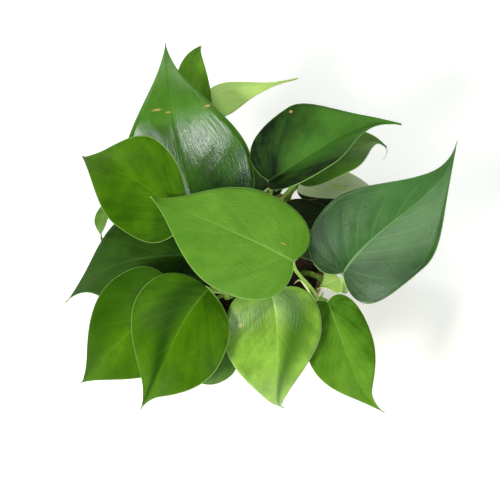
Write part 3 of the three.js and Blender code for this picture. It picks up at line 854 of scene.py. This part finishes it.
# Each stem has its radius at its foot and its way up, in mm.
stems = {
    "stem_right_front": (2.5, ((28, -18, 82), (33, -27, 100), (40, -37, 113), (46, -44, 121))),
    "stem_right": (2.3, ((38, -6, 82), (43, -14, 100), (53, -27, 116), (63, -37, 125))),
    "stem_front": (2.5, ((0, -20, 82), (-3, -26, 98), (-8, -33, 110), (-12, -38, 118))),
    "stem_left": (2.4, ((-12, -2, 82), (-13, -2, 94), (-14, -2, 102), (-16, -3, 110))),
    "stem_back_left": (2.5, ((-18, 20, 82), (-17, 28, 98), (-15, 40, 112), (-14, 52, 120))),
    "stem_back_right": (2.4, ((10, 12, 82), (10, 14, 98), (11, 18, 110), (13, 21, 120))),
    "stem_back": (2.2, ((22, 30, 82), (26, 37, 94), (30, 43, 104), (35, 46, 112))),
}
# Each blade's stem, how far up it the petiole starts, and the lean in mm that leads it past its neighbours.
petioles = {
    "leaf_01": ("stem_right_front", 0.98, (0, 0, 0)), "leaf_02": ("stem_right", 0.97, (0, 0, 0)),
    "leaf_03": ("stem_left", 0.6, (6, 4, 4)), "leaf_04": ("stem_left", 0.85, (5, -3, 10)),
    "leaf_05": ("stem_front", 0.95, (0, 0, 0)), "leaf_06": ("stem_front", 0.85, (0, 0, 10)),
    "leaf_07": ("stem_left", 0.9, (0, 0, 0)), "leaf_08": ("stem_front", 0.6, (0, 0, 0)),
    "leaf_09": ("stem_right_front", 0.8, (0, 0, 0)), "leaf_10": ("stem_back_right", 0.98, (0, 0, 0)),
    "leaf_11": ("stem_back_right", 0.75, (0, 0, 0)), "leaf_12": ("stem_back_right", 0.4, (0, 0, 0)),
    "leaf_13": ("stem_back_left", 0.97, (0, 0, 0)), "leaf_14": ("stem_back_left", 0.85, (0, 0, 0)),
    "leaf_15": ("stem_back_left", 0.5, (0, 0, 0)), "leaf_16": ("stem_front", 0.5, (0, 0, 0)),
    "leaf_17": ("stem_right", 0.8, (0, 0, 0)), "leaf_18": ("stem_back", 0.9, (0, 0, 0)),
    "leaf_19": ("stem_right", 0.6, (0, 0, 0)), "leaf_20": ("stem_left", 0.7, (0, 0, 0)),
    "leaf_21": ("stem_front", 0.6, (0, 0, 0)), "leaf_22": ("stem_right_front", 0.4, (0, 0, 0)),
    "leaf_23": ("stem_back_left", 0.35, (0, 0, 0)), "leaf_24": ("stem_back", 0.7, (0, 0, 0)),
    "leaf_25": ("stem_back_right", 0.6, (0, 0, 0)), "leaf_26": ("stem_back", 0.5, (0, 0, 0)),
}
stem_depth = 24.0
stem_taper = 0.35
stem_buried = 0.32
stem_steps, stem_sides = 60, 16
node_swell, node_length = 0.16, 0.022
petiole_radius = 1.15
petiole_steps, petiole_sides = 28, 12
petiole_swing = 0.35
petiole_foot_swell, petiole_end_swell = 0.35, 0.2
petiole_below = 0.2


def fleshy_stem():
    """Living stem: smooth pale green skin, darker at the foot, with faint speckles and a moist gloss."""
    material, tree, output = new_material("fleshy_green_stem")
    place = add_node(tree, "TexCoord").outputs["Object"]
    drawn = add_node(tree, "Mapping", {"Vector": place, "Scale": (1, 1, 0.3)})
    tones_of_skin = add_node(
        tree, "TexNoise", {"Vector": drawn.outputs[0], "Scale": 1 / (4 * MM), "Detail": 3.0}
    )
    speckle = add_node(tree, "TexNoise", {"Vector": place, "Scale": 1 / (0.5 * MM), "Detail": 2.0})
    split = add_node(tree, "SeparateXYZ", {0: place})
    upward = add_node(tree, "MapRange", {0: split.outputs[2], 1: 95 * MM, 2: 150 * MM})
    grown = add_node(
        tree, "Mix", {0: upward.outputs[0], 6: linear("5d7f22"), 7: linear("a9d052")}, data_type="RGBA"
    )
    share = add_node(tree, "MapRange", {0: tones_of_skin.outputs[0], 1: 0.4, 2: 0.75, 3: 0.0, 4: 0.6})
    streaked = add_node(
        tree, "Mix", {0: share.outputs[0], 6: grown.outputs[2], 7: linear("c3e57d")}, data_type="RGBA"
    )
    bump = add_node(tree, "Bump", {"Height": speckle.outputs[0], "Strength": 0.2, "Distance": 0.1 * MM})
    shader = add_node(
        tree,
        "BsdfPrincipled",
        {
            "Base Color": streaked.outputs[2],
            "Roughness": 0.42,
            "IOR": 1.45,
            "Normal": bump.outputs[0],
            "Subsurface Weight": 0.2,
            "Subsurface Radius": (0.7, 1.0, 0.3),
            "Subsurface Scale": 1.5 * MM,
        },
    )
    tree.links.new(shader.outputs[0], output.inputs[0])
    return material


stem_skin = fleshy_stem()
for node, (thick, path) in stems.items():
    path = [Vector(p) for p in path]
    buried = [path[0] - Vector((0, 0, stem_depth)), path[0] - Vector((0, 0, stem_depth / 2))]
    line = smooth_line(buried + path, stem_steps)
    starts = [at for stem, at, lean in petioles.values() if stem == node]
    radii = []
    for i in range(stem_steps + 1):
        share = i / stem_steps
        off = [(share - stem_buried - (1 - stem_buried) * at) / node_length for at in starts]
        swell = sum(math.exp(-(away**2)) for away in off)
        radii.append(thick * (1 - stem_taper * share) * (1 + node_swell * min(1, swell)))
    parts = [tube(line, radii, stem_sides)]
    for leaf_node, (stem, at, lean) in petioles.items():
        if stem != node:
            continue
        blade = {**usual, **blades[leaf_node]}
        base, forward, normal, side, length = blade_frame(blade)
        up = (normal - forward * 4 * blade["arch"]).normalized()
        start = line[round((stem_buried + (1 - stem_buried) * at) * stem_steps)]
        end = base - up * petiole_below
        swing = petiole_swing * (start - end).length
        rise = start + Vector((0, 0, swing)) + Vector(lean)
        stalk, widths = [], []
        for i in range(petiole_steps + 1):
            t = i / petiole_steps
            stalk.append(cubic(t, start, rise, end - up * swing, end))
            swell = petiole_foot_swell * (1 - t) ** 5 + petiole_end_swell * t**12
            widths.append(petiole_radius * (1 + swell))
        parts.append(tube(stalk, widths, petiole_sides))
    piece = join(parts, "shoot_" + node[5:])
    bpy.ops.object.shade_smooth()
    piece.data.materials.append(stem_skin)
    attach(piece, "root")
    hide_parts(node)

# The sheaths.
# Every new leaf comes wrapped in a thin pale sheath, a cataphyll, which stays at the node till it dries up.
# It is soft and keeled like a narrow gutter, grown to the stem at its foot, with a free curling tip.

# Each has its width in mm, the way that its keel faces, and its line in mm.
sheaths = (
    (3.0, (-0.6, -0.5, 0.6),
     ((45.3, -46.6, 126), (39.8, -47.3, 145), (36.1, -46, 155), (32.7, -44.1, 159), (29.1, -46.6, 158))),
    (3.0, (0.3, -0.9, 0.3), ((45.8, -42.4, 119), (47.2, -41.4, 126), (48.4, -40.2, 133))),
    (7.0, (0.4, -0.8, 0.5), ((-13.8, 47, 114), (-9, 38, 124), (-4.6, 35.6, 136))),
    (2.4, (0.1, -0.5, 0.9), ((12, 19.6, 118), (11.4, 27.4, 132), (16.3, 28.2, 140), (20.6, 27.5, 136))),
    (5.5, (-0.1, -0.4, 0.9), ((35.6, 46.4, 111), (50, 42, 116), (62, 39.6, 119), (67.4, 38.4, 123))),
)
sheath_thickness = 0.35
sheath_keel = 0.3
sheath_steps, sheath_columns = 28, 8
sheath_foot, sheath_belly = 0.75, 2.4
sheath_taper, sheath_bluntness = 2.4, 0.8


def pale_sheath():
    """Thin living sheath: pale green going to straw, with fine lengthwise nerves and a papery brown tip."""
    material, tree, output = new_material("pale_leaf_sheath")
    uv = add_node(tree, "UVMap", uv_map="UVMap")
    split = add_node(tree, "SeparateXYZ", {0: uv.outputs[0]})
    drawn = add_node(tree, "Mapping", {"Vector": uv.outputs[0], "Scale": (3, 24, 1)})
    nerves = add_node(tree, "TexNoise", {"Vector": drawn.outputs[0], "Scale": 1.0, "Detail": 2.0})
    tint = add_node(
        tree, "Mix", {0: nerves.outputs[0], 6: linear("b9d070"), 7: linear("e4eebc")}, data_type="RGBA"
    )
    papery = add_node(tree, "MapRange", {0: split.outputs[0], 1: 0.86, 2: 1.0, 3: 0.0, 4: 0.7})
    tipped = add_node(
        tree, "Mix", {0: papery.outputs[0], 6: tint.outputs[2], 7: linear("a98a55")}, data_type="RGBA"
    )
    bump = add_node(tree, "Bump", {"Height": nerves.outputs[0], "Strength": 0.4, "Distance": 0.15 * MM})
    shader = add_node(
        tree,
        "BsdfPrincipled",
        {
            "Base Color": tipped.outputs[2],
            "Roughness": 0.5,
            "Normal": bump.outputs[0],
            "Subsurface Weight": 0.2,
            "Subsurface Radius": (0.8, 1.0, 0.4),
            "Subsurface Scale": MM,
        },
    )
    tree.links.new(shader.outputs[0], output.inputs[0])
    return material


strips = []
for wide, facing, points in sheaths:
    bpy.ops.mesh.primitive_grid_add(x_subdivisions=sheath_steps, y_subdivisions=sheath_columns, size=2)
    strip = bpy.context.object
    line = smooth_line([Vector(p) for p in points], sheath_steps)
    facing = Vector(facing).normalized()
    for vertex in strip.data.vertices:
        along, across = (vertex.co.x + 1) / 2, vertex.co.y
        near = min(sheath_steps - 1, int(along * sheath_steps))
        centre = line[near].lerp(line[near + 1], along * sheath_steps - near)
        side = (line[near + 1] - line[near]).cross(facing).normalized()
        belly = sheath_foot + (1 - sheath_foot) * math.sin(sheath_belly * along)
        half = wide / 2 * belly * (1 - along**sheath_taper) ** sheath_bluntness
        place = centre + side * (half * across) + facing * (sheath_keel * half * (1 - across * across))
        vertex.co = place * MM
    bpy.ops.object.mode_set(mode="EDIT")
    bpy.ops.mesh.select_all(action="SELECT")
    bpy.ops.mesh.remove_doubles(threshold=0.001 * MM)
    bpy.ops.mesh.normals_make_consistent(inside=False)
    bpy.ops.object.mode_set(mode="OBJECT")
    apply_modifier(strip, "SOLIDIFY", thickness=sheath_thickness * MM, offset=0)
    strips.append(strip)
wraps = join(strips, "leaf_sheaths")
bpy.ops.object.shade_smooth()
wraps.data.materials.append(pale_sheath())
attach(wraps, "root")

# The studio.
# A plain floor of white paper, lit a little from below like a light table, so that it stays pale.
# A warm key light stands at the front left. Small cool boxes hang overhead, each with a soft image in the
# wax, and the air is bright at the horizon, as by white walls, and dim above.
floor_size = 6
bpy.ops.mesh.primitive_plane_add(size=floor_size)
floor = bpy.context.object
floor.name = "studio_floor"
paper, paper_tree, paper_output = new_material("lit_white_paper")
matte = add_node(
    paper_tree,
    "BsdfPrincipled",
    {
        "Base Color": linear("f8f8f8"),
        "Roughness": 0.9,
        "Emission Color": (1, 1, 1, 1),
        "Emission Strength": 0.3,
    },
)
paper_tree.links.new(matte.outputs[0], paper_output.inputs[0])
floor.data.materials.append(paper)

# Each light: its direction from the plant, how far off it is, its width and depth in metres, and its watts.
plant_middle = Vector((0.0, 0.0, 0.12))
studio_lights = {
    "key_light": {"way": (-0.46, -0.56, 0.69), "away": 1.3, "wide": 0.25, "deep": 0.25, "power": 14.0,
                  "colour": (1.0, 0.96, 0.85)},
    "soft_box": {"way": (-0.23, 0.07, 0.97), "away": 1.2, "wide": 0.14, "deep": 0.3, "power": 2.4,
                 "colour": (0.95, 0.98, 1.0)},
    "back_box": {"way": (-0.2, 0.62, 0.76), "away": 1.3, "wide": 0.9, "deep": 0.6, "power": 5.0,
                 "colour": (0.97, 1.0, 0.95)},
    "top_strip": {"way": (0.16, -0.07, 0.98), "away": 1.2, "wide": 0.14, "deep": 0.26, "power": 1.1,
                  "colour": (0.95, 0.98, 1.0)},
    "front_strip": {"way": (0.1, -0.54, 0.84), "away": 1.2, "wide": 0.24, "deep": 0.44, "power": 3.6,
                    "colour": (1.0, 1.0, 1.0)},
}
for name, light in studio_lights.items():
    way = Vector(light["way"]).normalized()
    bpy.ops.object.light_add(type="AREA", location=plant_middle + way * light["away"])
    lamp = bpy.context.object
    lamp.name = name
    lamp.rotation_euler = way.to_track_quat("Z", "Y").to_euler()
    lamp.data.shape = "RECTANGLE"
    lamp.data.size = light["wide"]
    lamp.data.size_y = light["deep"]
    lamp.data.energy = light["power"]
    lamp.data.color = light["colour"]

world = bpy.data.worlds.new("studio_air")
world.use_nodes = True
air = world.node_tree
ray = add_node(air, "SeparateXYZ", {0: add_node(air, "TexCoord").outputs["Generated"]})
walls = add_node(air, "MapRange", {0: ray.outputs[2], 1: 0.0, 2: 0.85, 3: 0.6, 4: 0.06})
air.nodes["Background"].inputs[0].default_value = (0.94, 1, 0.9, 1)
air.links.new(walls.outputs[0], air.nodes["Background"].inputs[1])
bpy.context.scene.world = world
bpy.context.scene.view_settings.view_transform = "Standard"

# The camera looks down on the plant as the photograph's did, 25 degrees off straight down.
camera_lens = 100
camera_tilt = 25
camera_away = 0.9
camera_aim = Vector((0.003, 0.0, 0.107))
sensor_width = 36
tilt = math.radians(camera_tilt)
bpy.ops.object.camera_add(
    location=camera_aim + Vector((0, -math.sin(tilt), math.cos(tilt))) * camera_away, rotation=(tilt, 0, 0)
)
camera = bpy.context.object
camera.data.lens = camera_lens
camera.data.sensor_width = sensor_width
bpy.context.scene.camera = camera
